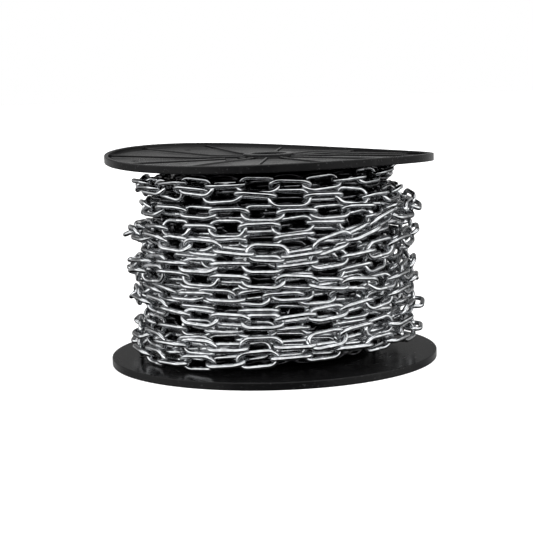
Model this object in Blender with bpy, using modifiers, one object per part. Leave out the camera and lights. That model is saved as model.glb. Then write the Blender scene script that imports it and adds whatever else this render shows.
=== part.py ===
"""A moulded plastic reel that stands on one flange, wound with long-link welded steel chain.

Units are metres, +Z is up, and the reel's axis is the Z axis. The origin is on the floor.
"""

import math

import bmesh
import bpy
from mathutils import Matrix, Vector

# Driving dimensions of the reel
FLANGE_RADIUS = 0.105
RIM_HEIGHT = 0.0048
RIM_WIDTH = 0.0026
RIM_CHAMFER = 0.0005
WEB_THICKNESS = 0.0018
WEB_RINGS = 6
WEB_RING_WIDTH = 0.012
FLANGE_GAP = 0.1228
BORE_RADIUS = 0.011
BOSS_RADIUS = 0.0165
BARREL_RADIUS = 0.042
BARREL_WALL = 0.0035
RIB_COUNT = 12
RIB_WIDTH = 0.0016
RIB_HEIGHT = 0.0014
RIB_SINK = 0.0008
RIB_TURN = math.radians(-5.0)
RIM_HOLE_COUNT = 6
RIM_HOLE_RADIUS = 0.0022
RIM_HOLE_CIRCLE = 0.086
DRIVE_HOLE_RADIUS = 0.006
DRIVE_HOLE_CIRCLE = 0.026
DRIVE_HOLE_ANGLE = math.radians(-147.0)

# Warp of the top flange: a tilt along X and a twist across the two diagonals, both at its rim
RIM_TILT = -0.00255
RIM_TWIST = -0.0041
WARP_START = 0.046

# Driving dimensions of the chain
WIRE_DIAMETER = 0.003
LINK_PITCH = 0.021
LINK_WIDTH = 0.0125
TOUCH_GAP = 0.0003

# The wound layers, by radius and by the height that they reach
INNER_LAYERS_RADIUS = 0.0640
OUTER_LAYER_RADIUS = 0.0825
LOWER_LAYER_RADIUS = 0.0915
WINDING_TOP = 0.1250
OUTER_ROW_PITCH = 0.0081
OUTER_LAYER_ROWS = 14
OUTER_HIDDEN_ROWS = 8
LOWER_LAYER_ROWS = 7
LOWER_ROW_PITCH = 0.0094
LAST_TURN_RISE = 0.0107
OUTER_LAYER_LINKS = 26
LOWER_LAYER_LINKS = 28

# Relief of a wound turn: profile heights as shares of the turn, columns to a link, and depths
ROW_SHARES = (0.03, 0.2, 0.5, 0.8)
LINK_COLUMNS = 4
COVER_COLUMNS = 1.1
GAP_DEPTH = LINK_WIDTH / 3
RIDGE_RISE = LINK_WIDTH / 4
JOINT_RISE = LINK_WIDTH / 6

# The last stretch of chain, which crosses over the turns: turns after it leaves the lower layer, and heights
CROSSING_ANGLE = math.radians(-80.0)
CROSSING_PATH = ((0.0, 0.076), (0.05, 0.087), (0.11, 0.0985), (0.15, 0.1022), (0.30, 0.107), (0.52, 0.112))
CROSSING_LINKS = 13
CROSSING_FIRST_TURN = 0.0125
CROSSING_LIFT = 0.0004
CROSSING_LINK_TILT = math.radians(45.0)
PATH_STEP = 0.0001

FLOOR_FACE = RIM_HEIGHT
TOP_FACE = FLOOR_FACE + FLANGE_GAP
LOWER_LAYER_TOP = FLOOR_FACE + TOUCH_GAP + LOWER_LAYER_ROWS * LOWER_ROW_PITCH
LINK_LENGTH = LINK_PITCH + 2 * WIRE_DIAMETER
WIRE_RADIUS = WIRE_DIAMETER / 2
BEND_RADIUS = (LINK_WIDTH - WIRE_DIAMETER) / 2

# How finely round shapes are divided
FLANGE_STEPS = 72
CORE_STEPS = 48
RIM_HOLE_STEPS = 10
DRIVE_HOLE_STEPS = 16
BEND_STEPS = 6

PARTS_COLLECTION = "chain_reel"
CUTTERS_COLLECTION = "cutters"


def clear_scene():
    for obj in list(bpy.data.objects):
        bpy.data.objects.remove(obj, do_unlink=True)


def new_collection(name):
    collection = bpy.data.collections.new(name)
    bpy.context.scene.collection.children.link(collection)
    return collection


def make_material(name, colour, roughness, metallic):
    material = bpy.data.materials.new(name)
    material.use_nodes = True
    shader = material.node_tree.nodes["Principled BSDF"]
    shader.inputs["Base Color"].default_value = (*colour, 1.0)
    shader.inputs["Roughness"].default_value = roughness
    shader.inputs["Metallic"].default_value = metallic
    return material


def new_object(name, mesh, collection):
    obj = bpy.data.objects.new(name, mesh)
    collection.objects.link(obj)
    return obj


def finish_part(obj, material, smooth=True):
    obj.data.materials.clear()
    obj.data.materials.append(material)
    if smooth:
        obj.data.shade_smooth()


def turned_ring(name, outline, steps, collection):
    """A closed outline of (radius, height) points, outer side first and downwards, turned about Z."""
    mesh = bpy.data.meshes.new(name)
    points = [(radius, 0.0, height) for radius, height in outline]
    edges = [(i, (i + 1) % len(points)) for i in range(len(points))]
    mesh.from_pydata(points, edges, [])
    obj = new_object(name, mesh, collection)
    screw = obj.modifiers.new("turn", "SCREW")
    screw.axis = "Z"
    screw.angle = math.tau
    screw.steps = steps
    screw.render_steps = steps
    screw.use_merge_vertices = True
    screw.merge_threshold = 0.00001
    return obj


def baked(obj):
    """Replaces the object's modifiers by the mesh that they make."""
    bpy.context.view_layer.update()
    graph = bpy.context.evaluated_depsgraph_get()
    mesh = bpy.data.meshes.new_from_object(obj.evaluated_get(graph))
    obj.modifiers.clear()
    obj.data = mesh
    return obj


def boolean(obj, other, operation):
    modifier = obj.modifiers.new(operation.lower(), "BOOLEAN")
    modifier.operation = operation
    modifier.solver = "EXACT"
    modifier.object = other


def make_cutter(name, bm, collection):
    mesh = bpy.data.meshes.new(name)
    bm.to_mesh(mesh)
    bm.free()
    obj = new_object(name, mesh, collection)
    obj.hide_render = True
    obj.display_type = "WIRE"
    return obj


def add_box(bm, size, matrix):
    bmesh.ops.create_cube(bm, size=1.0, matrix=matrix @ Matrix.Diagonal((*size, 1.0)))


def add_cylinder(bm, radius, depth, centre, segments):
    bmesh.ops.create_cone(
        bm,
        cap_ends=True,
        segments=segments,
        radius1=radius,
        radius2=radius,
        depth=depth,
        matrix=Matrix.Translation(centre),
    )


def flange_outline(inner_face, outward):
    """Section of a flange: flat inner face, raised rim and hub boss on the outer face."""
    web = inner_face + outward * WEB_THICKNESS
    outer = inner_face + outward * RIM_HEIGHT
    chamfer = outward * RIM_CHAMFER
    web_radii = [FLANGE_RADIUS - ring * WEB_RING_WIDTH for ring in range(1, WEB_RINGS + 1)]
    outline = [
        (FLANGE_RADIUS - RIM_CHAMFER, outer),
        (FLANGE_RADIUS, outer - chamfer),
        (FLANGE_RADIUS, inner_face + chamfer),
        (FLANGE_RADIUS - RIM_CHAMFER, inner_face),
    ]
    outline += [(radius, inner_face) for radius in web_radii]
    outline += [(BORE_RADIUS, inner_face), (BORE_RADIUS, outer), (BOSS_RADIUS, outer), (BOSS_RADIUS, web)]
    outline += [(radius, web) for radius in reversed(web_radii)]
    outline += [(FLANGE_RADIUS - RIM_WIDTH, web), (FLANGE_RADIUS - RIM_WIDTH, outer)]
    return outline if outward > 0 else outline[::-1]


def rib_bars(name, inner_face, outward, collection):
    """Radial ribs on the outer face, between the hub boss and the rim, and sunk into all three."""
    start = BOSS_RADIUS - RIB_SINK
    end = FLANGE_RADIUS - RIM_WIDTH + RIB_SINK
    low = inner_face + outward * (WEB_THICKNESS - RIB_SINK)
    high = inner_face + outward * (WEB_THICKNESS + RIB_HEIGHT)
    bm = bmesh.new()
    for index in range(RIB_COUNT):
        turn = Matrix.Rotation(RIB_TURN + math.tau * index / RIB_COUNT, 4, "Z")
        centre = Matrix.Translation(((start + end) / 2, 0.0, (low + high) / 2))
        add_box(bm, (end - start, RIB_WIDTH, abs(high - low)), turn @ centre)
    return make_cutter(name, bm, collection)


def flange_holes(name, inner_face, collection):
    """The small moulded holes near the rim, between the ribs, and the drive hole beside the hub."""
    depth = 4 * RIM_HEIGHT
    bm = bmesh.new()
    for index in range(RIM_HOLE_COUNT):
        angle = RIB_TURN + math.tau * (index + 0.25) / RIM_HOLE_COUNT
        centre = (RIM_HOLE_CIRCLE * math.cos(angle), RIM_HOLE_CIRCLE * math.sin(angle), inner_face)
        add_cylinder(bm, RIM_HOLE_RADIUS, depth, centre, RIM_HOLE_STEPS)
    drive = (
        DRIVE_HOLE_CIRCLE * math.cos(DRIVE_HOLE_ANGLE),
        DRIVE_HOLE_CIRCLE * math.sin(DRIVE_HOLE_ANGLE),
        inner_face,
    )
    add_cylinder(bm, DRIVE_HOLE_RADIUS, depth, drive, DRIVE_HOLE_STEPS)
    return make_cutter(name, bm, collection)


def make_flange(name, inner_face, outward, material, parts, cutters):
    flange = turned_ring(name, flange_outline(inner_face, outward), FLANGE_STEPS, parts)
    boolean(flange, rib_bars(name + "_rib_bars", inner_face, outward, cutters), "UNION")
    boolean(flange, flange_holes(name + "_holes", inner_face, cutters), "DIFFERENCE")
    baked(flange)
    finish_part(flange, material, smooth=False)
    return flange


def rim_warp(x, y):
    """Height that the warp adds at a point of the top flange: none at the barrel, all of it at the rim."""
    radius = math.hypot(x, y)
    if radius <= WARP_START:
        return 0.0
    share = (radius - WARP_START) / (FLANGE_RADIUS - WARP_START)
    across = x / radius
    twist = across * y / radius
    return share * (RIM_TILT * across + RIM_TWIST * twist)


def warp_top_flange(flange):
    for vertex in flange.data.vertices:
        vertex.co.z += rim_warp(vertex.co.x, vertex.co.y)


def make_barrel(material, parts):
    inner = BARREL_RADIUS - BARREL_WALL
    low = FLOOR_FACE + TOUCH_GAP
    high = TOP_FACE - TOUCH_GAP
    outline = [(BARREL_RADIUS, high), (BARREL_RADIUS, low), (inner, low), (inner, high)]
    barrel = turned_ring("barrel", outline, CORE_STEPS, parts)
    finish_part(barrel, material)


def make_inner_layers(material, parts):
    """The hidden layers as one plain ring around the barrel."""
    inner = BARREL_RADIUS + TOUCH_GAP
    low = FLOOR_FACE + TOUCH_GAP
    outer = INNER_LAYERS_RADIUS
    outline = [(outer, WINDING_TOP), (outer, low), (inner, low), (inner, WINDING_TOP)]
    layers = turned_ring("chain_inner_layers", outline, CORE_STEPS, parts)
    finish_part(layers, material)


def row_heights(row, pitch):
    """The profile heights of one turn: the gap below it, its lower wire, its middle and its upper wire."""
    base = FLOOR_FACE + TOUCH_GAP + row * pitch
    return [base + share * pitch for share in ROW_SHARES]


def relief_outline(inner, outer, first_row, rows, pitch, high):
    """Section of a layer: four points for each turn of chain, ready to be pushed in or out."""
    low = FLOOR_FACE + TOUCH_GAP
    outline = [(outer, high)]
    for row in reversed(range(first_row, rows)):
        outline += [(outer, height) for height in reversed(row_heights(row, pitch))]
    outline += [(outer, low), (inner, low), (inner, high)]
    return outline


def link_relief(column, row, part):
    """How far a point of a turn stands out: flat links are open ovals, links on edge narrow ridges."""
    if part == 0:
        return -GAP_DEPTH
    middle = part == 2
    place = column % LINK_COLUMNS
    if place == LINK_COLUMNS // 2:
        return JOINT_RISE if middle else -WIRE_RADIUS
    link = (column + LINK_COLUMNS // 2) // LINK_COLUMNS
    on_edge = (link + row) % 2
    if on_edge:
        return RIDGE_RISE if middle else -RIDGE_RISE
    if place:
        return -WIRE_DIAMETER if middle else 0.0
    return -GAP_DEPTH if middle else WIRE_RADIUS / 2


def cut_relief(layer, outer, first_row, rows, pitch, links):
    """Pushes the points of the layer's turned face in or out, so that the links of each turn show."""
    heights = {}
    for row in range(first_row, rows):
        for part, height in enumerate(row_heights(row, pitch)):
            heights[round(height, 6)] = (row, part)
    for vertex in layer.data.vertices:
        radius = math.hypot(vertex.co.x, vertex.co.y)
        key = heights.get(round(vertex.co.z, 6))
        if key is None or abs(radius - outer) > TOUCH_GAP:
            continue
        angle = math.atan2(vertex.co.y, vertex.co.x) % math.tau
        column = round(angle / math.tau * links * LINK_COLUMNS)
        relief = link_relief(column, *key)
        if outer < LOWER_LAYER_RADIUS and covered(angle, vertex.co.z):
            relief = min(relief, 0.0)
        scale = (outer + relief) / radius
        vertex.co.x *= scale
        vertex.co.y *= scale


def climb(angle):
    """How far the last turn has climbed at an angle, up to where the last stretch leaves it."""
    return (angle - CROSSING_ANGLE) / math.tau % 1.0 * LAST_TURN_RISE


def raise_turns(layer, high):
    """Lets the turns of the lower layer climb round the reel."""
    low = FLOOR_FACE + TOUCH_GAP
    for vertex in layer.data.vertices:
        share = (vertex.co.z - low) / (high - low)
        vertex.co.z += share * climb(math.atan2(vertex.co.y, vertex.co.x))


def covered(angle, height):
    """Whether the lower layer lies over the outer layer here, with a margin of half a turn."""
    reach = COVER_COLUMNS * math.tau / (LOWER_LAYER_LINKS * LINK_COLUMNS)
    top = LOWER_LAYER_TOP + max(climb(angle - reach), climb(angle), climb(angle + reach))
    return height < top + OUTER_ROW_PITCH / 2


def make_outer_layer(material, parts):
    """The full layer. Its turns show above the lower layer, and it is plain where that covers it."""
    inner = INNER_LAYERS_RADIUS + TOUCH_GAP
    high = WINDING_TOP - OUTER_ROW_PITCH / 4
    turns = (OUTER_HIDDEN_ROWS, OUTER_LAYER_ROWS, OUTER_ROW_PITCH)
    outline = relief_outline(inner, OUTER_LAYER_RADIUS, *turns, high)
    layer = turned_ring("chain_outer_layer", outline, OUTER_LAYER_LINKS * LINK_COLUMNS, parts)
    baked(layer)
    cut_relief(layer, OUTER_LAYER_RADIUS, *turns, OUTER_LAYER_LINKS)
    finish_part(layer, material, smooth=False)


def make_lower_layer(material, parts):
    """The last turns, which cover only the lower part of the winding and climb round it."""
    inner = OUTER_LAYER_RADIUS + TOUCH_GAP
    turns = (0, LOWER_LAYER_ROWS, LOWER_ROW_PITCH)
    outline = relief_outline(inner, LOWER_LAYER_RADIUS, *turns, LOWER_LAYER_TOP)
    layer = turned_ring("chain_lower_layer", outline, LOWER_LAYER_LINKS * LINK_COLUMNS, parts)
    baked(layer)
    cut_relief(layer, LOWER_LAYER_RADIUS, *turns, LOWER_LAYER_LINKS)
    raise_turns(layer, LOWER_LAYER_TOP)
    finish_part(layer, material, smooth=False)


def link_points(bend_steps):
    """Centre line of one link along X: two straight sides and two round ends."""
    half_straight = (LINK_LENGTH - WIRE_DIAMETER) / 2 - BEND_RADIUS
    points = []
    for side in (1, -1):
        for index in range(bend_steps + 1):
            angle = side * math.pi / 2 - math.pi * index / bend_steps
            x = side * half_straight + BEND_RADIUS * math.cos(angle)
            points.append((x, BEND_RADIUS * math.sin(angle), 0.0))
    return points


def make_link(name, matrix, material, parts):
    """One link as a bent round wire."""
    curve = bpy.data.curves.new(name, "CURVE")
    curve.dimensions = "3D"
    curve.bevel_depth = WIRE_RADIUS
    curve.bevel_resolution = 1
    curve.use_fill_caps = True
    points = link_points(BEND_STEPS)
    spline = curve.splines.new("POLY")
    spline.points.add(len(points) - 1)
    for point, place in zip(spline.points, points):
        point.co = (*place, 1.0)
    spline.use_cyclic_u = True
    curve.materials.append(material)
    obj = new_object(name, curve, parts)
    obj.matrix_world = matrix
    return obj


def crossing_height(turn):
    """Height of the last stretch after a number of turns from where it leaves the lower layer."""
    for (start, low), (end, high) in zip(CROSSING_PATH, CROSSING_PATH[1:]):
        if turn <= end:
            return low + (high - low) * (turn - start) / (end - start)
    return CROSSING_PATH[-1][1]


def crossing_point(turn, radius):
    angle = CROSSING_ANGLE + math.tau * turn
    return Vector((radius * math.cos(angle), radius * math.sin(angle), crossing_height(turn)))


def next_turn(turn, radius, reach):
    """The turns at which the path is a given straight distance further on."""
    start = crossing_point(turn, radius)
    while (crossing_point(turn, radius) - start).length < reach:
        turn += PATH_STEP
    return turn


def crossing_matrix(start, end, radius, index):
    """Place of a link of the last stretch, between two points of its path, tilted to either side in turn."""
    first = crossing_point(start, radius)
    last = crossing_point(end, radius)
    centre = (first + last) / 2
    along = (last - first).normalized()
    outward = Vector((centre.x, centre.y, 0.0))
    across = outward.cross(along).normalized()
    outward = along.cross(across)
    frame = Matrix((along, across, outward)).transposed().to_4x4()
    tilt = Matrix.Rotation(CROSSING_LINK_TILT * (1 if index % 2 else -1), 4, "X")
    return Matrix.Translation(centre) @ frame @ tilt


def make_crossing_links(material, parts):
    """The last stretch, whose links lie on the ridges of the full layer."""
    standing = WIRE_RADIUS + BEND_RADIUS * math.sin(CROSSING_LINK_TILT)
    radius = OUTER_LAYER_RADIUS + RIDGE_RISE + TOUCH_GAP + standing + CROSSING_LIFT
    turn = CROSSING_FIRST_TURN
    for index in range(CROSSING_LINKS):
        end = next_turn(turn, radius, LINK_PITCH - TOUCH_GAP)
        matrix = crossing_matrix(turn, end, radius, index)
        make_link(f"crossing_link_{index + 1}", matrix, material, parts)
        turn = end


def main():
    clear_scene()
    parts = new_collection(PARTS_COLLECTION)
    cutters = new_collection(CUTTERS_COLLECTION)
    plastic = make_material("black_plastic", (0.012, 0.012, 0.013), 0.45, 0.0)
    steel = make_material("zinc_plated_steel", (0.56, 0.57, 0.58), 0.25, 1.0)
    make_flange("bottom_flange", FLOOR_FACE, -1, plastic, parts, cutters)
    top_flange = make_flange("top_flange", TOP_FACE, 1, plastic, parts, cutters)
    warp_top_flange(top_flange)
    make_barrel(plastic, parts)
    make_inner_layers(steel, parts)
    make_outer_layer(steel, parts)
    make_lower_layer(steel, parts)
    make_crossing_links(steel, parts)


main()
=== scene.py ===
"""Looks of a reel of long-link steel chain: settled links, moulded plastic reel, studio light."""
import math

import bmesh
import bpy
import numpy as np
from mathutils import Matrix


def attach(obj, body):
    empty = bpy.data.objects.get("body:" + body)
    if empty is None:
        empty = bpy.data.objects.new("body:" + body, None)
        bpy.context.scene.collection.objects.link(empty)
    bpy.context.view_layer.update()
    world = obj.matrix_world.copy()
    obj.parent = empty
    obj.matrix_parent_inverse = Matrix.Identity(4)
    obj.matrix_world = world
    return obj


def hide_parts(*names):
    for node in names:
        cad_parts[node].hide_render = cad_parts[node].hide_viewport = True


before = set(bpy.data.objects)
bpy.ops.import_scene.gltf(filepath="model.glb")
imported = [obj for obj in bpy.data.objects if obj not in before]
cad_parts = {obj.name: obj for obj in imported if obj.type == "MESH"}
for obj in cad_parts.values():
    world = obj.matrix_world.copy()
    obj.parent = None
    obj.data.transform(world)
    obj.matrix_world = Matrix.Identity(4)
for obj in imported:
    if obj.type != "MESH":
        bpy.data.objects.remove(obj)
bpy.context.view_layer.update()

SEED = 11

# Reel, in metres
FLANGE_RADIUS = 0.105
RIM_HEIGHT = 0.0048
RIM_WIDTH = 0.0026
WEB_THICKNESS = 0.0018
FLANGE_GAP = 0.1228
BORE_RADIUS = 0.011
BOSS_RADIUS = 0.0165
RIB_COUNT = 12
RIB_WIDTH = 0.0016
RIB_HEIGHT = 0.0014
RIB_TURN = math.radians(-5.0)
RIM_HOLE_COUNT = 6
RIM_HOLE_RADIUS = 0.0022
RIM_HOLE_CIRCLE = 0.086
DRIVE_HOLE_RADIUS = 0.006
DRIVE_HOLE_CIRCLE = 0.026
DRIVE_HOLE_ANGLE = math.radians(-147.0)
RIM_TILT = -0.00255
RIM_TWIST = -0.0041
WARP_START = 0.046
FLOOR_FACE = RIM_HEIGHT
TOP_FACE = FLOOR_FACE + FLANGE_GAP
# Painted sheen: the top flange's web is painted paler, partly as dust and partly as the sheen of grazing
# light, brightest in the sectors towards this side
PAINTED_SHEEN_SIDE = math.radians(-50.0)
RAISED_DUST_AND_SHEEN = 0.25
DUST_AND_SHEEN_COLOUR = (0.15, 0.15, 0.15)
EDGE_FILLET = 0.0005
ROOT_FILLET = 0.0006
BETWEEN_RIBS = 12

# Chain
WIRE_DIAMETER = 0.003
LINK_PITCH = 0.021
LINK_WIDTH = 0.0125
BEND_RADIUS = (LINK_WIDTH - WIRE_DIAMETER) / 2
BEND_STRETCH = 1.25
HALF_LEG = (LINK_PITCH + WIRE_DIAMETER) / 2 - BEND_RADIUS * BEND_STRETCH
WOUND_PITCH = 0.0204
CORE_RADIUS = 0.0640
CORE_BORE = 0.0424
CORE_ROWS = 14
LINKS_A_TURN = 20
LAYER_RADII = (0.0705, 0.0810, 0.0905)
FIRST_LAYER_TURNS = 14.5
SECOND_LAYER_TURNS = 12.7
BALLS = 24
PATH_STEPS = 240
BEAD_RISE = 0.15
BEAD_REACH = 0.28

# The last turns, as (turns, height): they begin at the back, and the last stretch crosses up over the winding
LAST_TURNS = 5.5
LAST_ROWS = (
    (0.0, 0.0115), (0.35, 0.0150), (0.47, 0.0170), (0.58, 0.0165), (1.0, 0.022), (1.47, 0.031), (1.6, 0.032),
    (2.3, 0.043), (2.47, 0.040), (2.6, 0.043), (3.3, 0.061), (3.47, 0.059), (3.6, 0.053), (4.3, 0.069),
    (4.47, 0.0735), (4.6, 0.080), (4.8, 0.083), (5.3, 0.0845), (5.4, 0.080), (5.47, 0.0775),
)
CROSSING_ANGLE = math.radians(-80.0)
CROSSING = ((0.0, 0.076), (0.05, 0.087), (0.11, 0.0985), (0.15, 0.1022), (0.30, 0.107), (0.52, 0.112))

# Camera, as fitted to the edges of both flanges: 533 pixels wide
IMAGE_WIDTH = 533
FOCAL_PIXELS = 1566.2
CAMERA_DISTANCE = 1.0027
CAMERA_HEIGHT = 0.19467
CAMERA_PITCH = math.radians(7.70)
CAMERA_ROLL = math.radians(1.63)
AXIS_PIXEL = 272.1
SENSOR_WIDTH = 36.0

# Studio: elevations of the lit band and of the ceiling's edge in degrees, and their brightness
BAND_LOW = 3.0
BAND_HIGH = 25.0
CEILING_EDGE = 47.0
BEHIND_SHARE = 0.06
ROOM_DARK = 0.004
BAND_LIGHT = 2.6
CEILING_LIGHT = 2.4
SIDE_LOW = -28.0
SIDE_LIGHT = 1.0
BACKDROP_LOW = -14.0
BACKDROP_HIGH = 5.0
BACKDROP_LIGHT = 0.45
FLOOR_GLOW = 0.45


def wire_place(travel):
    """Point and direction of the link's centre line, at a distance along it as if its bends were round."""
    arc = math.pi * BEND_RADIUS
    leg = 2 * HALF_LEG
    travel = travel % (2 * (leg + arc))
    if travel < leg:
        return (-HALF_LEG + travel, -BEND_RADIUS), (1.0, 0.0)
    travel -= leg
    if travel < arc:
        angle = -math.pi / 2 + travel / BEND_RADIUS
        centre = HALF_LEG
    elif travel < arc + leg:
        travel -= arc
        return (HALF_LEG - travel, BEND_RADIUS), (-1.0, 0.0)
    else:
        angle = math.pi / 2 + (travel - arc - leg) / BEND_RADIUS
        centre = -HALF_LEG
    place = (centre + BEND_STRETCH * BEND_RADIUS * math.cos(angle), BEND_RADIUS * math.sin(angle))
    along = (-BEND_STRETCH * math.sin(angle), math.cos(angle))
    length = math.hypot(*along)
    return place, (along[0] / length, along[1] / length)


def wire_length():
    return 4 * HALF_LEG + math.tau * BEND_RADIUS


def ball_places():
    """Balls spaced along the wire, which stand for it where links touch."""
    step = wire_length() / BALLS
    flat = [wire_place(index * step)[0] for index in range(BALLS)]
    places = np.array([(x, y, 0.0) for x, y in flat])
    return places - places.mean(axis=0)


BALL_PLACES = ball_places()
SPREAD = (BALL_PLACES**2).sum() / BALLS * np.eye(3) - BALL_PLACES.T @ BALL_PLACES / BALLS
EASE_OF_TURN = 1 / np.diag(SPREAD)
GRID = 1024
CELL_STEPS = [
    (dx * GRID + dy) * GRID + dz
    for dx in (-1, 0, 1)
    for dy in (-1, 0, 1)
    for dz in (-1, 0, 1)
    if (dx, dy, dz) >= (0, 0, 0)
]


def close_pairs(balls, owner, free, reach):
    """Index pairs of balls of different links that lie within reach, found on a grid of cells."""
    cell = np.floor(balls / reach).astype(np.int64) + GRID // 2
    key = (cell[:, 0] * GRID + cell[:, 1]) * GRID + cell[:, 2]
    order = np.argsort(key, kind="stable")
    ranked = key[order]
    first = np.flatnonzero(np.r_[True, ranked[1:] != ranked[:-1]])
    cells = ranked[first]
    count = np.diff(np.r_[first, len(key)])
    found = []
    for step in CELL_STEPS:
        there = np.minimum(np.searchsorted(cells, cells + step), len(cells) - 1)
        met = cells[there] == cells + step
        here = np.flatnonzero(met)
        there = there[met]
        pairs = count[here] * count[there]
        row = np.repeat(np.arange(len(here)), pairs)
        rank = np.arange(len(row)) - np.repeat(np.cumsum(pairs) - pairs, pairs)
        one = order[first[here][row] + rank // count[there][row]]
        other = order[first[there][row] + rank % count[there][row]]
        keep = (owner[one] != owner[other]) & (free[owner[one]] | free[owner[other]])
        if step == 0:
            keep &= one < other
        one = one[keep]
        other = other[keep]
        near = ((balls[one] - balls[other]) ** 2).sum(axis=1) < reach * reach
        found.append((one[near], other[near]))
    return [np.concatenate(column) for column in zip(*found)]


def small_turns(spin):
    """Rotation matrices of small rotation vectors."""
    angle = np.maximum(np.linalg.norm(spin, axis=1), 1e-12)
    axis = spin / angle[:, None]
    cross = np.zeros((len(spin), 3, 3))
    cross[:, 0, 1], cross[:, 0, 2], cross[:, 1, 2] = -axis[:, 2], axis[:, 1], -axis[:, 0]
    cross[:, 1, 0], cross[:, 2, 0], cross[:, 2, 1] = axis[:, 2], -axis[:, 1], axis[:, 0]
    sine = np.sin(angle)[:, None, None]
    versine = (1 - np.cos(angle))[:, None, None]
    return np.eye(3) + sine * cross + versine * (cross @ cross)


def summed(owner, vectors, count):
    columns = [np.bincount(owner, weights=vectors[:, k], minlength=count) for k in range(3)]
    return np.stack(columns, axis=1)


def capped(vectors, most):
    length = np.linalg.norm(vectors, axis=1, keepdims=True)
    return vectors * np.minimum(1, most / np.maximum(length, 1e-12))


def rim_warp(x, y):
    """Height that the top flange's warp adds: none over the barrel, all of it at the rim."""
    radius = np.maximum(np.hypot(x, y), 1e-9)
    share = np.clip((radius - WARP_START) / (FLANGE_RADIUS - WARP_START), 0, None)
    return share * (RIM_TILT * x / radius + RIM_TWIST * x * y / radius**2)


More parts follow.
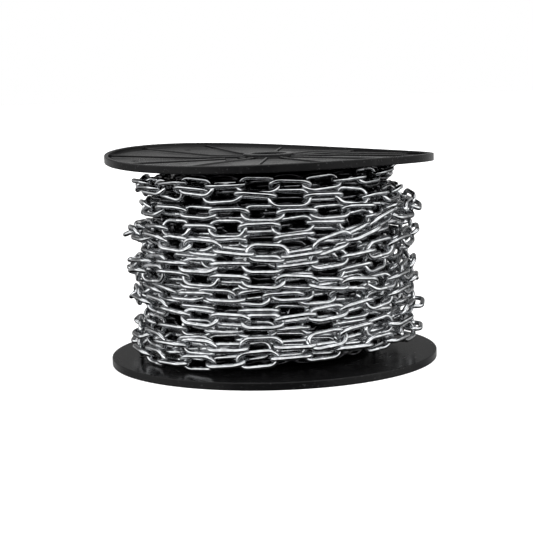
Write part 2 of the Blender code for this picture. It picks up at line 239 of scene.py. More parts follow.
class Winding:
    """Links as rigid bodies: centres, turns, next links, heights and rolls to keep to, and layers."""

    def __init__(self):
        self.centres = np.zeros((0, 3))
        self.turns = np.zeros((0, 3, 3))
        self.after = np.zeros(0, int)
        self.heights = np.zeros(0)
        self.rolls = np.zeros(0)
        self.layer = np.zeros(0, int)
        self.free = np.zeros(0, bool)

    def add(self, centres, turns, rolls, layer):
        start = len(self.centres)
        after = np.arange(start + 1, start + len(centres) + 1)
        after[-1] = -1
        self.centres = np.vstack([self.centres, centres])
        self.turns = np.concatenate([self.turns, turns])
        self.after = np.r_[self.after, after]
        self.heights = np.r_[self.heights, centres[:, 2]]
        self.rolls = np.r_[self.rolls, rolls]
        self.layer = np.r_[self.layer, np.full(len(centres), layer)]
        self.free = np.r_[self.free, np.ones(len(centres), bool)]

    def walls(self, balls):
        """Depth of each ball in the core and the flanges, and the way out."""
        half = WIRE_DIAMETER / 2
        radius = np.hypot(balls[:, 0], balls[:, 1])
        outward = np.stack([balls[:, 0] / radius, balls[:, 1] / radius, 0 * radius], axis=1)
        up = np.tile([0.0, 0.0, 1.0], (len(balls), 1))
        ceiling = TOP_FACE + rim_warp(balls[:, 0], balls[:, 1])
        yield CORE_RADIUS + half - radius, outward
        yield FLOOR_FACE + half - balls[:, 2], up
        yield balls[:, 2] + half - ceiling, -up

    def roll_back(self, share):
        """Small turns that bring the links back towards the roll that they were laid with."""
        along = self.turns[:, :, 0]
        across = self.turns[:, :, 1]
        up = np.cross(self.centres * (1, 1, 0), along)
        up /= np.linalg.norm(up, axis=1, keepdims=True)
        outward = np.cross(along, up)
        wanted = np.cos(self.rolls)[:, None] * up + np.sin(self.rolls)[:, None] * outward
        side = np.sign((across * wanted).sum(axis=1, keepdims=True))
        return share * np.cross(across, wanted * side)

    def settle(self, steps, pull, hold, straighten, keep):
        """Draws the free links inwards and pushes overlapping ones apart, a little at a time."""
        count = len(self.centres)
        owner = np.repeat(np.arange(count), BALLS)
        loose = self.free.astype(float)
        before = np.full(count, -1)
        linked = self.after >= 0
        before[self.after[linked]] = np.flatnonzero(linked)
        inner = np.flatnonzero(linked & (before >= 0) & self.free)
        for step in range(steps):
            radius = np.hypot(self.centres[:, 0], self.centres[:, 1])[:, None]
            move = -pull * (1 - step / steps) * self.centres * (1, 1, 0) / radius
            move[:, 2] += hold * (self.heights - self.centres[:, 2])
            past = self.centres[before[inner]]
            ahead = self.centres[self.after[inner]]
            along = ahead - past
            along /= np.linalg.norm(along, axis=1, keepdims=True)
            lag = (past + ahead) / 2 - self.centres[inner]
            move[inner] += 0.2 * along * (lag * along).sum(axis=1, keepdims=True)
            self.centres += move * loose[:, None]
            spin = np.zeros((count, 3))
            axis = self.turns[inner, :, 0]
            side = np.sign((axis * along).sum(axis=1, keepdims=True))
            spin[inner] = straighten * np.cross(axis, along * side)
            if keep:
                spin += self.roll_back(keep) * loose[:, None]
            self.turns = small_turns(spin) @ self.turns
            arms = np.einsum("nij,pj->npi", self.turns, BALL_PLACES)
            balls = (arms + self.centres[:, None, :]).reshape(-1, 3)
            arms = arms.reshape(-1, 3)
            if step % 8 == 0:
                one, other = close_pairs(balls, owner, self.free, WIRE_DIAMETER * 1.5)
            self.push_apart(balls, arms, owner, one, other, loose)
            if step % 40 == 39:
                left, _, right = np.linalg.svd(self.turns)
                self.turns = left @ right

    def push_apart(self, balls, arms, owner, one, other, loose):
        count = len(self.centres)
        gap = balls[one] - balls[other]
        distance = np.sqrt((gap * gap).sum(axis=1))
        hit = distance < WIRE_DIAMETER
        one = one[hit]
        other = other[hit]
        way = gap[hit] / np.maximum(distance[hit], 1e-9)[:, None]
        depth = WIRE_DIAMETER - distance[hit]
        ease = np.einsum("nij,j,nkj->nik", self.turns, EASE_OF_TURN, self.turns)
        lever_one = np.cross(arms[one], way)
        lever_other = np.cross(arms[other], way)
        turn_one = np.einsum("nij,nj->ni", ease[owner[one]], lever_one)
        turn_other = np.einsum("nij,nj->ni", ease[owner[other]], lever_other)
        give_one = loose[owner[one]] * (1 + (lever_one * turn_one).sum(axis=1))
        give_other = loose[owner[other]] * (1 + (lever_other * turn_other).sum(axis=1))
        size = (depth / (give_one + give_other))[:, None]
        move = summed(owner[one], size * way, count) - summed(owner[other], size * way, count)
        turn = summed(owner[one], size * turn_one, count)
        turn -= summed(owner[other], size * turn_other, count)
        for depth, way in self.walls(balls):
            hit = np.flatnonzero((depth > 0) & self.free[owner])
            lever = np.cross(arms[hit], way[hit])
            turned = np.einsum("nij,nj->ni", ease[owner[hit]], lever)
            size = (depth[hit] / (1 + (lever * turned).sum(axis=1)))[:, None]
            move += summed(owner[hit], size * way[hit], count)
            turn += summed(owner[hit], size * turned, count)
        share = 0.5 * loose[:, None]
        self.centres += share * capped(move, 0.0012)
        self.turns = small_turns(share * capped(turn, 0.16)) @ self.turns


def turns_path(radius, start_angle, way, heights, rng, wobble, lean=0.0):
    """A winding path through (turns, height) pairs that waves up and down, and leans out towards +X."""
    turns = np.linspace(0, heights[-1][0], int(heights[-1][0] * PATH_STEPS))
    theta = start_angle + way * math.tau * turns
    height = np.interp(turns, *zip(*heights))
    for wave in (0.31, 0.47, 0.73, 1.13, 1.41, 1.87, 2.37):
        swing = wobble * rng.normal() / math.sqrt(wave)
        height += swing * np.sin(wave * (theta - start_angle) + rng.uniform(0, math.tau))
    out = radius + lean * np.cos(theta)
    return np.stack([out * np.cos(theta), out * np.sin(theta), height], axis=1)


def drifting(rng, count, step, hold):
    """Random values that wander slowly about zero."""
    values = np.zeros(count)
    for index, push in enumerate(rng.normal(0, step, count)):
        values[index] = hold * values[index - 1] + push
    return values


def lay_links(path, rng, lean, spread, drift):
    """Links evenly along a path, every second one turned a quarter about it, with a lean and scatter."""
    steps = np.linalg.norm(np.diff(path, axis=0), axis=1)
    travel = np.r_[0, np.cumsum(steps)]
    count = int(travel[-1] / WOUND_PITCH)
    places = (np.arange(count) + 0.5) * WOUND_PITCH

    def at(distance):
        return np.stack([np.interp(distance, travel, path[:, k]) for k in range(3)], axis=1)

    centres = at(places)
    along = at(places + WIRE_DIAMETER) - at(places - WIRE_DIAMETER)
    along /= np.linalg.norm(along, axis=1, keepdims=True)
    outward = centres * (1, 1, 0)
    up = np.cross(outward, along)
    up /= np.linalg.norm(up, axis=1, keepdims=True)
    outward = np.cross(along, up)
    rolls = lean + (np.arange(count) % 2) * math.pi / 2 + rng.normal(0, spread, count)
    rolls += drifting(rng, count, drift, 0.93)
    across = np.cos(rolls)[:, None] * up + np.sin(rolls)[:, None] * outward
    return centres, np.stack([along, across, np.cross(along, across)], axis=2), rolls


def wind_chain():
    """The three outer layers of chain, laid on the core one after another and settled."""
    rng = np.random.default_rng(SEED)
    quick = 1.0
    winding = Winding()
    low = FLOOR_FACE + LINK_WIDTH / 2
    high = TOP_FACE - LINK_WIDTH / 2
    heights = [(0, low), (FIRST_LAYER_TURNS, high)]
    path = turns_path(LAYER_RADII[0], 0.0, 1, heights, rng, 0.0006)
    winding.add(*lay_links(path, rng, 0.0, 0.25, 0.0), 1)
    winding.settle(int(200 * quick), 0.00003, 0.05, 0.06, 0.0)
    winding.settle(int(80 * quick), 0.0, 0.0, 0.0, 0.0)
    winding.free[:] = False
    heights = [(0, high), (SECOND_LAYER_TURNS, low)]
    path = turns_path(LAYER_RADII[1], 0.5, -1, heights, rng, 0.0019)
    winding.add(*lay_links(path, rng, 0.50, 0.20, 0.05), 2)
    winding.settle(int(260 * quick), 0.00004, 0.05, 0.06, 0.05)
    winding.settle(int(80 * quick), 0.0, 0.0, 0.0, 0.0)
    heights = list(LAST_ROWS) + [(LAST_TURNS + turn, height) for turn, height in CROSSING]
    start = CROSSING_ANGLE - math.tau * LAST_TURNS
    path = turns_path(LAYER_RADII[2], start, 1, heights, rng, 0.0013, 0.002)
    winding.add(*lay_links(path, rng, -0.15, 0.30, 0.14), 3)
    winding.settle(int(260 * quick), 0.00003, 0.04, 0.06, 0.04)
    winding.settle(int(120 * quick), 0.0, 0.0, 0.0, 0.0)
    return winding


def link_template(bend_rings, sides, weld):
    """Vertices of one link as rings of a round wire, with a small weld bead on one leg."""
    leg = 2 * HALF_LEG
    bend = math.pi * BEND_RADIUS
    bead_at = leg / 2
    travel = [0.0]
    if weld:
        travel += [bead_at + offset * WIRE_DIAMETER for offset in (-0.45, -0.25, -0.1, 0.1, 0.25, 0.45)]
    travel += list(leg + bend * np.arange(bend_rings) / bend_rings)
    travel += [leg + bend]
    travel += list(2 * leg + bend + bend * np.arange(bend_rings) / bend_rings)
    rings = []
    for distance in travel:
        (x, y), (dx, dy) = wire_place(distance)
        off_bead = (distance - bead_at) / (BEAD_REACH * WIRE_DIAMETER)
        bead = BEAD_RISE * math.exp(-(off_bead**2)) if weld else 0.0
        radius = WIRE_DIAMETER / 2 * (1 + bead)
        for side in range(sides):
            angle = math.tau * side / sides
            out = radius * math.cos(angle)
            rings.append((x + dy * out, y - dx * out, radius * math.sin(angle)))
    return np.array(rings), len(travel)


def link_faces(rings, sides):
    ring = np.arange(rings)[:, None] * sides
    following = (np.arange(rings)[:, None] + 1) % rings * sides
    side = np.arange(sides)[None, :]
    after = (side + 1) % sides
    quads = np.stack([ring + side, ring + after, following + after, following + side], axis=2)
    return quads.reshape(-1, 4)


def links_mesh(name, winding, members, bend_rings, sides, weld, material):
    """All the given links as one mesh object."""
    template, rings = link_template(bend_rings, sides, weld)
    quads = link_faces(rings, sides)
    places = np.einsum("nij,pj->npi", winding.turns[members], template)
    places += winding.centres[members][:, None, :]
    faces = quads[None] + (np.arange(len(members)) * len(template))[:, None, None]
    mesh = bpy.data.meshes.new(name)
    mesh.vertices.add(places.size // 3)
    mesh.vertices.foreach_set("co", places.ravel())
    mesh.loops.add(faces.size)
    mesh.loops.foreach_set("vertex_index", faces.ravel())
    mesh.polygons.add(faces.size // 4)
    mesh.polygons.foreach_set("loop_start", np.arange(0, faces.size, 4))
    mesh.update(calc_edges=True)
    mesh.shade_smooth()
    mesh.materials.append(material)
    obj = bpy.data.objects.new(name, mesh)
    bpy.context.scene.collection.objects.link(obj)
    return obj


def arc(centre, radius, start, end, steps):
    """Points of a fillet, with its angles in degrees."""
    angles = np.radians(np.linspace(start, end, steps + 1))
    return [(centre[0] + radius * math.cos(a), centre[1] + radius * math.sin(a)) for a in angles]


def flange_section():
    """Closed section of a flange as (radius, height): heights run from the inner face at 0 outwards."""
    top = RIM_HEIGHT
    edge = EDGE_FILLET
    root = ROOT_FILLET
    near = 1.5 * edge
    web = WEB_THICKNESS
    lip = FLANGE_RADIUS - RIM_WIDTH
    rows = [(BORE_RADIUS + edge, 0.0)]
    rows += [(radius, 0.0) for radius in np.linspace(BORE_RADIUS + near, FLANGE_RADIUS - near, 12)]
    rows += arc((FLANGE_RADIUS - edge, edge), edge, -90, 0, 3)
    rows += [(FLANGE_RADIUS, near), (FLANGE_RADIUS, top - near)]
    rows += arc((FLANGE_RADIUS - edge, top - edge), edge, 0, 90, 3)
    rows += [(FLANGE_RADIUS - near, top), (lip + near, top)]
    rows += arc((lip + edge, top - edge), edge, 90, 180, 3)
    rows += [(lip, top - near)]
    rows += arc((lip - root, web + root), root, 0, -90, 4)
    rows += [(radius, web) for radius in np.linspace(lip - 2 * root, BOSS_RADIUS + 2 * root, 34)]
    rows += arc((BOSS_RADIUS + root, web + root), root, 270, 180, 4)
    rows += [(BOSS_RADIUS, top - near)]
    rows += arc((BOSS_RADIUS - edge, top - edge), edge, 0, 90, 3)
    rows += [(BOSS_RADIUS - near, top), (BORE_RADIUS + near, top)]
    rows += arc((BORE_RADIUS + edge, top - edge), edge, 90, 180, 3)
    rows += [(BORE_RADIUS, top - near), (BORE_RADIUS, near)]
    rows += arc((BORE_RADIUS + edge, edge), edge, 180, 270, 3)[:-1]
    return rows


def rib_rise(offset):
    """Height of a rib above the web, at a distance from its middle: a flat top, drafted sides and fillets."""
    half = RIB_WIDTH / 2
    reach = (0.0, 0.55 * half, 0.8 * half, half, 1.25 * half, 1.7 * half)
    return np.interp(abs(offset), reach, (1.0, 1.0, 0.92, 0.5, 0.12, 0.0)) * RIB_HEIGHT


def flange_columns(radius):
    """Angles around a flange at a radius, closer together at the ribs, and their distances from a rib."""
    half = RIB_WIDTH / 2
    offsets = [share * half for share in (-1.7, -1.25, -1.0, -0.8, -0.55, 0.0, 0.55, 0.8, 1.0, 1.25, 1.7)]
    angles = []
    distances = []
    for rib in range(RIB_COUNT):
        middle = RIB_TURN + math.tau * rib / RIB_COUNT
        angles += [middle + math.asin(offset / radius) for offset in offsets]
        distances += offsets
        start = angles[-1]
        end = middle + math.tau / RIB_COUNT + math.asin(offsets[0] / radius)
        angles += list(np.linspace(start, end, BETWEEN_RIBS + 2)[1:-1])
        distances += [LINK_WIDTH] * BETWEEN_RIBS
    return np.array(angles), np.array(distances)


def flange_holes(low, high):
    """Cutter for the small moulded holes near the rim and the drive hole beside the hub."""
    bm = bmesh.new()
    places = [(DRIVE_HOLE_RADIUS, DRIVE_HOLE_CIRCLE, DRIVE_HOLE_ANGLE)]
    for index in range(RIM_HOLE_COUNT):
        angle = RIB_TURN + math.tau * (index + 0.25) / RIM_HOLE_COUNT
        places.append((RIM_HOLE_RADIUS, RIM_HOLE_CIRCLE, angle))
    for radius, circle, angle in places:
        centre = (circle * math.cos(angle), circle * math.sin(angle), (low + high) / 2)
        bmesh.ops.create_cone(
            bm, cap_ends=True, segments=28, radius1=radius, radius2=radius,
            depth=high - low + RIM_HEIGHT, matrix=Matrix.Translation(centre),
        )
    mesh = bpy.data.meshes.new("flange_holes")
    bm.to_mesh(mesh)
    bm.free()
    return bpy.data.objects.new("flange_holes", mesh)


def bored(obj, cutter):
    """The object's mesh with the cutter taken out of it."""
    bpy.context.scene.collection.objects.link(cutter)
    modifier = obj.modifiers.new("holes", "BOOLEAN")
    modifier.operation = "DIFFERENCE"
    modifier.solver = "EXACT"
    modifier.object = cutter
    bpy.context.view_layer.update()
    mesh = bpy.data.meshes.new_from_object(obj.evaluated_get(bpy.context.evaluated_depsgraph_get()))
    obj.modifiers.clear()
    obj.data = mesh
    bpy.data.objects.remove(cutter, do_unlink=True)


def make_flange(name, inner_face, outward, warped, material):
    """A moulded flange: a turned section with fillets, and ribs raised from its web."""
    section = flange_section()
    rings = []
    for radius, height in section:
        angles, distances = flange_columns(radius)
        on_web = height >= WEB_THICKNESS and BOSS_RADIUS <= radius <= FLANGE_RADIUS - RIM_WIDTH
        level = np.full(len(angles), height)
        if on_web:
            level = np.maximum(height, WEB_THICKNESS + rib_rise(distances))
        x = radius * np.cos(angles)
        y = radius * np.sin(angles)
        z = inner_face + outward * level
        if warped:
            z = z + rim_warp(x, y)
        rings.append(np.stack([x, y, z], axis=1))
    around = len(rings[0])
    places = np.concatenate(rings)
    ring = np.arange(len(section))[:, None] * around
    following = (np.arange(len(section))[:, None] + 1) % len(section) * around
    side = np.arange(around)[None, :]
    after = (side + 1) % around
    quads = np.stack([ring + side, following + side, following + after, ring + after], axis=2)
    quads = quads.reshape(-1, 4)
    if outward < 0:
        quads = quads[:, ::-1]
    mesh = bpy.data.meshes.new(name)
    mesh.from_pydata(places.tolist(), [], quads.tolist())
    obj = bpy.data.objects.new(name, mesh)
    bpy.context.scene.collection.objects.link(obj)
    bored(obj, flange_holes(min(places[:, 2]), max(places[:, 2])))
    obj.data.materials.clear()
    obj.data.materials.append(material)
    obj.data.shade_smooth()
    obj.data.set_sharp_from_angle(angle=math.radians(38))
    return obj


def make_core(material):
    """The turns under the simulated ones: a ring with the relief of their wires."""
    around = LINKS_A_TURN * 2 * 6
    up = CORE_ROWS * 10
    low = FLOOR_FACE + 0.0004
    high = TOP_FACE - 0.0026
    angle = np.linspace(0, math.tau, around, endpoint=False)[None, :]
    height = np.linspace(0, 1, up + 1)[:, None]
    row = height * CORE_ROWS
    phase = angle / math.tau * LINKS_A_TURN * 2 + np.floor(row)
    flat = 0.5 + 0.5 * np.cos(phase * math.pi)
    legs = np.abs(np.sin(row * math.pi * 2))
    middle = np.abs(np.sin(row * math.pi))
    rise = WIRE_DIAMETER * (flat * legs + (1 - flat) * middle - 1.2)
    radius = CORE_RADIUS + np.minimum(rise, 0.0)
    level = low + (high - low) * height + 0 * angle
    places = [np.stack([radius * np.cos(angle), radius * np.sin(angle), level], axis=2)]
    inner = np.full((2, around), CORE_BORE)
    levels = np.array([[high], [low]]) + 0 * inner
    places.append(np.stack([inner * np.cos(angle), inner * np.sin(angle), levels], axis=2))
    places = np.concatenate([part.reshape(-1, 3) for part in places])
    rings = up + 3
    quads = link_faces(rings, around)
    mesh = bpy.data.meshes.new("chain_core")
    mesh.from_pydata(places.tolist(), [], quads.tolist())
    obj = bpy.data.objects.new("chain_core", mesh)
    bpy.context.scene.collection.objects.link(obj)
    bm = bmesh.new()
    bm.from_mesh(mesh)
    bmesh.ops.recalc_face_normals(bm, faces=bm.faces)
    bm.to_mesh(mesh)
    bm.free()
    mesh.shade_smooth()
    mesh.materials.append(material)
    return obj


def node(tree, kind, **settings):
    made = tree.nodes.new(kind)
    for key, value in settings.items():
        setattr(made, key, value)
    return made


def wire(tree, value, socket):
    """Joins a socket or sets a number."""
    if isinstance(value, bpy.types.NodeSocket):
        tree.links.new(value, socket)
    else:
        socket.default_value = value


def maths(tree, operation, *values):
    made = node(tree, "ShaderNodeMath", operation=operation)
    for index, value in enumerate(values):
        wire(tree, value, made.inputs[index])
    return made.outputs[0]


def ramped(tree, value, low, high, to_low=0.0, to_high=1.0):
    """The value mapped smoothly from one range to another, and held at its ends."""
    made = node(tree, "ShaderNodeMapRange", interpolation_type="SMOOTHSTEP")
    names = ("Value", "From Min", "From Max", "To Min", "To Max")
    for name, number in zip(names, (value, low, high, to_low, to_high)):
        wire(tree, number, made.inputs[name])
    return made.outputs[0]


def noise(tree, vector, scale, detail=3.0):
    made = node(tree, "ShaderNodeTexNoise")
    made.inputs["Scale"].default_value = scale
    made.inputs["Detail"].default_value = detail
    tree.links.new(vector, made.inputs["Vector"])
    return made.outputs["Fac"]


def mixed(tree, share, one, other):
    """A colour between two, each a socket or three numbers."""
    made = node(tree, "ShaderNodeMix", data_type="RGBA")
    wire(tree, share, made.inputs["Factor"])
    for value, socket in ((one, made.inputs[6]), (other, made.inputs[7])):
        wire(tree, value if isinstance(value, bpy.types.NodeSocket) else (*value, 1.0), socket)
    return made.outputs[2]


def separated(tree, vector):
    """The three sockets of a vector's parts."""
    made = node(tree, "ShaderNodeSeparateXYZ")
    tree.links.new(vector, made.inputs["Vector"])
    return made.outputs[0], made.outputs[1], made.outputs[2]


def new_material(name):
    """A material, its node tree, its shader and the place on the object."""
    material = bpy.data.materials.new(name)
    material.use_nodes = True
    tree = material.node_tree
    place = node(tree, "ShaderNodeTexCoord").outputs["Object"]
    return material, tree, tree.nodes["Principled BSDF"], place


def bumped(tree, shader, height, strength, distance):
    made = node(tree, "ShaderNodeBump")
    made.inputs["Strength"].default_value = strength
    made.inputs["Distance"].default_value = distance
    tree.links.new(height, made.inputs["Height"])
    tree.links.new(made.outputs["Normal"], shader.inputs["Normal"])


def zinc_material(name, dark, light):
    """Bright zinc plating: a cool clouded grey, smoother and duller by patches, with a fine drawn grain."""
    material, tree, shader, place = new_material(name)
    shader.inputs["Metallic"].default_value = 1.0
    clouds = noise(tree, place, 220.0, 4.0)
    grain = noise(tree, place, 2600.0, 2.0)
    share = ramped(tree, clouds, 0.32, 0.68)
    tree.links.new(mixed(tree, share, dark, light), shader.inputs["Base Color"])
    fine = maths(tree, "MULTIPLY", grain, 0.05)
    rough = maths(tree, "ADD", ramped(tree, clouds, 0.35, 0.75, 0.07, 0.16), fine)
    tree.links.new(rough, shader.inputs["Roughness"])
    bumped(tree, shader, grain, 0.12, 0.0001)
    return material


def warp_of(tree, x, y, radius):
    """The height that the top flange's warp adds, as nodes."""
    across = maths(tree, "DIVIDE", x, radius)
    twist = maths(tree, "MULTIPLY", across, maths(tree, "DIVIDE", y, radius))
    twist = maths(tree, "MULTIPLY", twist, RIM_TWIST)
    lean = maths(tree, "ADD", maths(tree, "MULTIPLY", across, RIM_TILT), twist)
    beyond = maths(tree, "SUBTRACT", radius, WARP_START)
    share = maths(tree, "DIVIDE", beyond, FLANGE_RADIUS - WARP_START)
    return maths(tree, "MULTIPLY", maths(tree, "MAXIMUM", share, 0.0), lean)


def sector_dust_and_sheen(tree, angle):
    """How pale each sector between two ribs is painted: a painted sheen, brighter towards one side, and
    uneven by sector.
    """
    width = math.tau / RIB_COUNT
    sector = maths(tree, "DIVIDE", maths(tree, "SUBTRACT", angle, RIB_TURN), width)
    sector = maths(tree, "FLOOR", sector)
    middle = maths(tree, "MULTIPLY", maths(tree, "ADD", sector, 0.5), width)
    # Painted sheen: the sectors that face one side are painted brighter
    facing = maths(tree, "COSINE", maths(tree, "SUBTRACT", middle, PAINTED_SHEEN_SIDE - RIB_TURN))
    scatter = node(tree, "ShaderNodeTexWhiteNoise", noise_dimensions="1D")
    tree.links.new(sector, scatter.inputs["W"])
    uneven = ramped(tree, scatter.outputs["Value"], 0.0, 1.0, 0.8, 1.1)
    return maths(tree, "MULTIPLY", ramped(tree, facing, -0.5, 0.0, 0.5, 1.0), uneven)


def dust_and_sheen_share(tree, place, radius, angle, patches):
    """Where the pale dust and painted sheen lie: in the top flange's recess, less on its rim and boss, and
    not on its walls.
    """
    x, y, z = separated(tree, place)
    level = maths(tree, "SUBTRACT", maths(tree, "SUBTRACT", z, TOP_FACE), warp_of(tree, x, y, radius))
    outside = ramped(tree, level, WEB_THICKNESS - 0.0004, WEB_THICKNESS - 0.0002)
    lip = FLANGE_RADIUS - RIM_WIDTH
    inside = ramped(tree, radius, lip - 0.0012, lip - 0.0004, 1.0, RAISED_DUST_AND_SHEEN)
    off_boss = ramped(tree, radius, BOSS_RADIUS, BOSS_RADIUS + 0.0008, RAISED_DUST_AND_SHEEN, 1.0)
    open_share = maths(tree, "MULTIPLY", outside, maths(tree, "MINIMUM", inside, off_boss))
    normal = separated(tree, node(tree, "ShaderNodeNewGeometry").outputs["Normal"])
    lying = ramped(tree, normal[2], 0.3, 0.7)
    dust_and_sheen = maths(tree, "MULTIPLY", open_share, ramped(tree, patches, 0.30, 0.70, 0.7, 1.0))
    return maths(tree, "MULTIPLY", maths(tree, "MULTIPLY", dust_and_sheen, lying), sector_dust_and_sheen(tree, angle))


def plastic_material():
    """Black moulded plastic: satin, with dust and a painted sheen on the top flange's recessed web, scuffs
    and worn edges.
    """
    material, tree, shader, place = new_material("black_moulded_plastic")
    x, y, _ = separated(tree, place)
    square = maths(tree, "ADD", maths(tree, "MULTIPLY", x, x), maths(tree, "MULTIPLY", y, y))
    radius = maths(tree, "SQRT", square)
    angle = maths(tree, "ARCTAN2", y, x)
    polar = node(tree, "ShaderNodeCombineXYZ")
    tree.links.new(maths(tree, "MULTIPLY", radius, 900.0), polar.inputs[0])
    tree.links.new(maths(tree, "MULTIPLY", angle, 5.0), polar.inputs[1])
    scuffs = ramped(tree, noise(tree, polar.outputs[0], 1.0, 5.0), 0.60, 0.74)
    patches = noise(tree, place, 45.0, 4.0)
    grain = noise(tree, place, 1500.0, 3.0)
    dust_and_sheen = dust_and_sheen_share(tree, place, radius, angle, patches)
    rim = ramped(tree, radius, FLANGE_RADIUS - 0.0016, FLANGE_RADIUS - 0.0004)
    wear = maths(tree, "MULTIPLY", rim, ramped(tree, noise(tree, place, 620.0, 4.0), 0.62, 0.72))
    worn = maths(tree, "MAXIMUM", maths(tree, "MULTIPLY", scuffs, 0.5), wear)
    black = mixed(tree, patches, (0.0045, 0.0045, 0.0048), (0.0075, 0.0075, 0.0078))
    colour = mixed(tree, worn, black, (0.028, 0.028, 0.029))
    # The top flange's web is painted paler here: dust, and a painted sheen of grazing light
    colour = mixed(tree, dust_and_sheen, colour, DUST_AND_SHEEN_COLOUR)
    tree.links.new(colour, shader.inputs["Base Color"])
    shader.inputs["Specular IOR Level"].default_value = 0.12
    rough = ramped(tree, patches, 0.3, 0.7, 0.14, 0.22)
    for cover, added in ((worn, 0.25), (dust_and_sheen, 0.12)):
        rough = maths(tree, "ADD", rough, maths(tree, "MULTIPLY", cover, added))
    tree.links.new(rough, shader.inputs["Roughness"])
    bumped(tree, shader, maths(tree, "ADD", grain, maths(tree, "MULTIPLY", scuffs, 0.6)), 0.25, 0.00008)
    return material


def floor_material():
    material = bpy.data.materials.new("pale_floor")
    material.use_nodes = True
    shader = material.node_tree.nodes["Principled BSDF"]
    shader.inputs["Base Color"].default_value = (0.9, 0.9, 0.9, 1)
    shader.inputs["Roughness"].default_value = 0.8
    shader.inputs["Emission Color"].default_value = (1, 1, 1, 1)
    shader.inputs["Emission Strength"].default_value = FLOOR_GLOW
    return material


def make_floor():
    mesh = bpy.data.meshes.new("floor")
    bm = bmesh.new()
    bmesh.ops.create_grid(bm, x_segments=1, y_segments=1, size=6.0)
    bm.to_mesh(mesh)
    bm.free()
    mesh.materials.append(floor_material())
    floor = bpy.data.objects.new("floor", mesh)
    bpy.context.scene.collection.objects.link(floor)
    floor.visible_glossy = False
    floor.visible_diffuse = False


def make_camera():
    data = bpy.data.cameras.new("camera")
    data.sensor_width = SENSOR_WIDTH
    data.lens = SENSOR_WIDTH * FOCAL_PIXELS / IMAGE_WIDTH
    data.shift_x = (IMAGE_WIDTH / 2 - AXIS_PIXEL) / IMAGE_WIDTH
    camera = bpy.data.objects.new("camera", data)
    facing = Matrix.Rotation(math.pi / 2 - CAMERA_PITCH, 4, "X")
    roll = Matrix.Rotation(-CAMERA_ROLL, 4, "Z")
    place = Matrix.Translation((0.0, -CAMERA_DISTANCE, CAMERA_HEIGHT))
    camera.matrix_world = place @ facing @ roll
    bpy.context.scene.collection.objects.link(camera)
    bpy.context.scene.camera = camera


def sine(elevation):
    return math.sin(math.radians(elevation))


def lit_bands(tree, height):
    """Brightness by the sine of the elevation: a dark room, a lit band above the horizon and a ceiling."""
    place = node(tree, "ShaderNodeMapRange")
    place.inputs["From Min"].default_value = -1.0
    tree.links.new(height, place.inputs["Value"])
    bands = node(tree, "ShaderNodeValToRGB")
    ramp = bands.color_ramp
    ramp.elements[0].color = (ROOM_DARK, ROOM_DARK, ROOM_DARK, 1)
    ramp.elements[1].color = (CEILING_LIGHT, CEILING_LIGHT, CEILING_LIGHT, 1)
    for elevation, value in (
        (BAND_LOW - 4, ROOM_DARK),
        (BAND_LOW, BAND_LIGHT),
        (BAND_HIGH, BAND_LIGHT),
        (BAND_HIGH + 6, ROOM_DARK),
        (CEILING_EDGE - 5, ROOM_DARK),
        (CEILING_EDGE, CEILING_LIGHT),
    ):
        ramp.elements.new((1 + sine(elevation)) / 2).color = (value, value, value, 1)
    tree.links.new(place.outputs["Result"], bands.inputs["Fac"])
    return bands.outputs["Color"]


def side_light(tree, x, height):
    """Light from below the horizon on the left and right, for the undersides of the wires."""
    beside = ramped(tree, maths(tree, "ABSOLUTE", x), 0.35, 0.75)
    low = ramped(tree, height, sine(SIDE_LOW), sine(SIDE_LOW + 8))
    high = ramped(tree, height, 0.0, sine(BAND_LOW), 1.0, 0.0)
    between = maths(tree, "MULTIPLY", low, high)
    return maths(tree, "MULTIPLY", maths(tree, "MULTIPLY", beside, SIDE_LIGHT), between)


def shade_behind(tree, y):
    """Share of the room's light that each direction keeps: little of it comes from behind the reel."""
    behind = node(tree, "ShaderNodeMapRange")
    behind.inputs["From Min"].default_value = 0.0
    behind.inputs["From Max"].default_value = 0.7
    behind.inputs["To Min"].default_value = 1.0
    behind.inputs["To Max"].default_value = BEHIND_SHARE
    tree.links.new(y, behind.inputs["Value"])
    return behind.outputs["Result"]


def horizon_strip(tree, y, height):
    """The lit foot of the backdrop behind the reel, which the flanges mirror."""
    beyond = ramped(tree, y, 0.3, 0.6)
    above = ramped(tree, height, sine(BACKDROP_LOW), sine(BACKDROP_LOW + 4))
    below = ramped(tree, height, sine(BACKDROP_HIGH), sine(BACKDROP_HIGH + 3), 1.0, 0.0)
    between = maths(tree, "MULTIPLY", above, below)
    return maths(tree, "MULTIPLY", maths(tree, "MULTIPLY", beyond, BACKDROP_LIGHT), between)


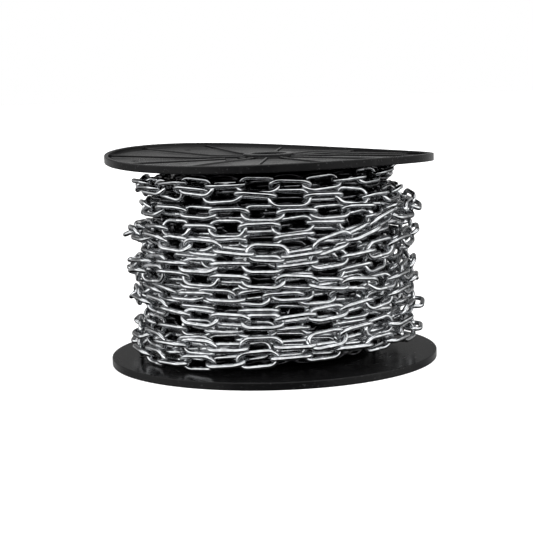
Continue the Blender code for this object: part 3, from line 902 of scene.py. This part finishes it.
def make_world():
    """White backdrop for the camera; for light and reflections, a dark room with lit parts."""
    world = bpy.data.worlds.new("studio")
    world.use_nodes = True
    tree = world.node_tree
    x, y, height = separated(tree, node(tree, "ShaderNodeTexCoord").outputs["Generated"])
    studio = maths(tree, "MAXIMUM", lit_bands(tree, height), side_light(tree, x, height))
    studio = maths(tree, "MULTIPLY", studio, shade_behind(tree, y))
    room = tree.nodes["Background"]
    light = maths(tree, "MAXIMUM", studio, horizon_strip(tree, y, height))
    tree.links.new(light, room.inputs["Color"])
    backdrop = node(tree, "ShaderNodeBackground")
    backdrop.inputs["Color"].default_value = (1, 1, 1, 1)
    ray = node(tree, "ShaderNodeLightPath")
    mix = node(tree, "ShaderNodeMixShader")
    tree.links.new(ray.outputs["Is Camera Ray"], mix.inputs["Fac"])
    tree.links.new(room.outputs["Background"], mix.inputs[1])
    tree.links.new(backdrop.outputs["Background"], mix.inputs[2])
    tree.links.new(mix.outputs["Shader"], tree.nodes["World Output"].inputs["Surface"])
    bpy.context.scene.world = world


def dress_winding(zinc, shaded):
    """The settled links of each layer, as meshes small enough to handle, in place of the solids' layers."""
    winding = wind_chain()
    # The first, deepest layer takes the darker copy of the zinc: painted shade
    layers = ((1, 1, 6, 8, shaded), (2, 3, 12, 12, zinc), (3, 2, 14, 12, zinc))
    for layer, parts, bend_rings, sides, material in layers:
        members = np.flatnonzero(winding.layer == layer)
        weld = layer > 1
        for part, share in enumerate(np.array_split(members, parts)):
            name = f"chain_layer_{layer}_{part + 1}"
            piece = links_mesh(name, winding, share, bend_rings, sides, weld, material)
            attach(piece, "root")
    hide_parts("chain_outer_layer")
    crossing = [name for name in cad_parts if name.startswith("crossing_link")]
    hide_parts("chain_lower_layer", *crossing)


def main():
    zinc = zinc_material("zinc_plated_steel", (0.40, 0.41, 0.42), (0.57, 0.58, 0.595))
    # A darker copy of the zinc, as painted shade for the deep first layer of links
    shaded = zinc_material("zinc_painted_shade", (0.06, 0.06, 0.063), (0.15, 0.153, 0.158))
    plastic = plastic_material()
    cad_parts["barrel"].data.materials.clear()
    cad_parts["barrel"].data.materials.append(plastic)
    for name, face, outward in (("bottom_flange", FLOOR_FACE, -1), ("top_flange", TOP_FACE, 1)):
        flange = make_flange("moulded_" + name, face, outward, outward > 0, plastic)
        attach(flange, "root")
        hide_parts(name)
    # The core's zinc is near black: painted shade for the turns deep under the outer layers
    core = make_core(zinc_material("zinc_of_the_core_painted_shade", (0.01, 0.01, 0.011), (0.05, 0.05, 0.053)))
    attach(core, "root")
    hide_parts("chain_inner_layers")
    dress_winding(zinc, shaded)
    make_floor()
    make_world()
    bpy.context.scene.view_settings.view_transform = "Standard"
    make_camera()


main()
